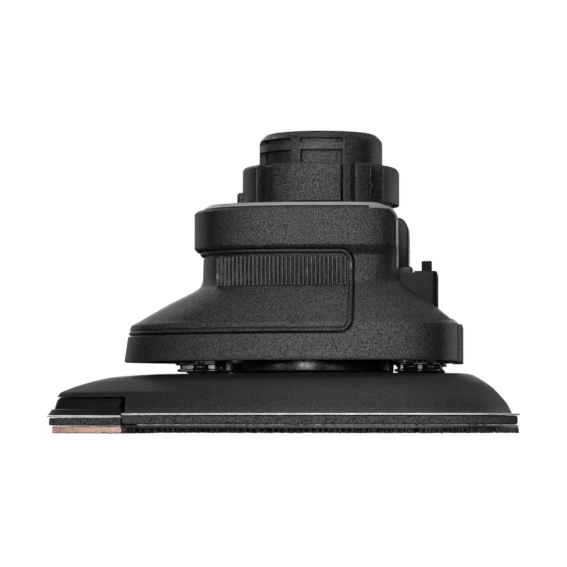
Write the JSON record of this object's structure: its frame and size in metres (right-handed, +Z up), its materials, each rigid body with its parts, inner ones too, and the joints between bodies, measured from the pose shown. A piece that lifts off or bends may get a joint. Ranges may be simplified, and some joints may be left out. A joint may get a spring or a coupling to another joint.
{
  "type": "detail sander head",
  "caption": "Iron-shaped orbital sanding platen with a replaceable pointed tip, hung under a waisted housing with a ribbed front cover, rear dust outlet and quick-connect bayonet collar.",
  "frame": {"origin": "centre of the bounding box in plan, at the underside of the sanding pad", "axes": "+Z up along the spindle, -X towards the pointed tip, +X towards the rear, -Y the side seen with the tip to the left"},
  "size_m": [0.14, 0.095, 0.0883],
  "materials": {
    "shell_plastic": "fine spark-eroded grain",
    "cover_plastic": "fine grain, moulded grip ribs",
    "platen_plastic": "fine grain",
    "trim_plastic": "smooth moulded",
    "leg_elastomer": "moulded, slightly glossy",
    "pad_foam": "closed-cell foam with a cut edge",
    "hook_fabric": "hook tape",
    "tip_felt": "napped loop felt",
    "backing_laminate": "thin pale laminate",
    "bearing_steel": "ground",
    "coupler_steel": "zinc plated",
    "screw_steel": "zinc plated",
    "spring_steel": "cold rolled"
  },
  "bodies": {
    "housing": {"left_shell": "shell_plastic", "right_shell": "shell_plastic", "nose_cover": "cover_plastic", "quick_connect_collar": "shell_plastic", "detent_spring_left": "spring_steel", "detent_spring_right": "spring_steel", "rear_spine": "trim_plastic", "dust_outlet": "shell_plastic", "bearing_bridge": "trim_plastic", "base_plate": "trim_plastic", "fan_shroud": "trim_plastic", "upper_bearing": "bearing_steel", "lower_bearing": "bearing_steel", "case_screw_1": "screw_steel", "case_screw_2": "screw_steel", "case_screw_3": "screw_steel", "base_screw_1": "screw_steel", "base_screw_2": "screw_steel", "base_screw_3": "screw_steel", "base_screw_4": "screw_steel", "front_left_leg": "leg_elastomer", "front_right_leg": "leg_elastomer", "rear_left_leg": "leg_elastomer", "rear_right_leg": "leg_elastomer", "latch_spring": "spring_steel"},
    "spindle": {"drive_shaft": "bearing_steel", "drive_coupler": "coupler_steel", "cooling_fan": "trim_plastic", "counterweight": "coupler_steel", "hub_bearing_inner_race": "bearing_steel", "hub_screw": "screw_steel"},
    "platform": {"platen": "platen_plastic", "hub_bearing_outer_race": "bearing_steel", "backing_sheet": "backing_laminate", "foam_pad": "pad_foam", "hook_pad": "hook_fabric"},
    "tip": {"tip_insert": "platen_plastic", "tip_backing_sheet": "backing_laminate", "tip_foam": "pad_foam", "tip_pad": "tip_felt"},
    "latch": {"latch_button": "trim_plastic"}
  },
  "joints": [
    {"name": "spindle_turn", "type": "hinge", "parent": "housing", "child": "spindle", "pos_m": [0.0115, 0, 0.05], "axis": [0, 0, 1], "continuous": true},
    {"name": "platform_orbit", "type": "hinge", "parent": "spindle", "child": "platform", "pos_m": [0.0125, 0, 0.013], "axis": [0, 0, 1], "continuous": true},
    {"name": "tip_pull", "type": "slide", "parent": "platform", "child": "tip", "axis": [-1, 0, 0], "range_m": [0, 0.03]},
    {"name": "latch_press", "type": "slide", "parent": "housing", "child": "latch", "axis": [0, 0, -1], "range_m": [0, 0.002], "stiffness_N_per_m": 400, "springref_m": -0.001, "deforming": ["latch_spring"]}
  ],
  "couplings": [
    {"joint": "platform_orbit", "follows": "spindle_turn", "ratio": -1}
  ]
}
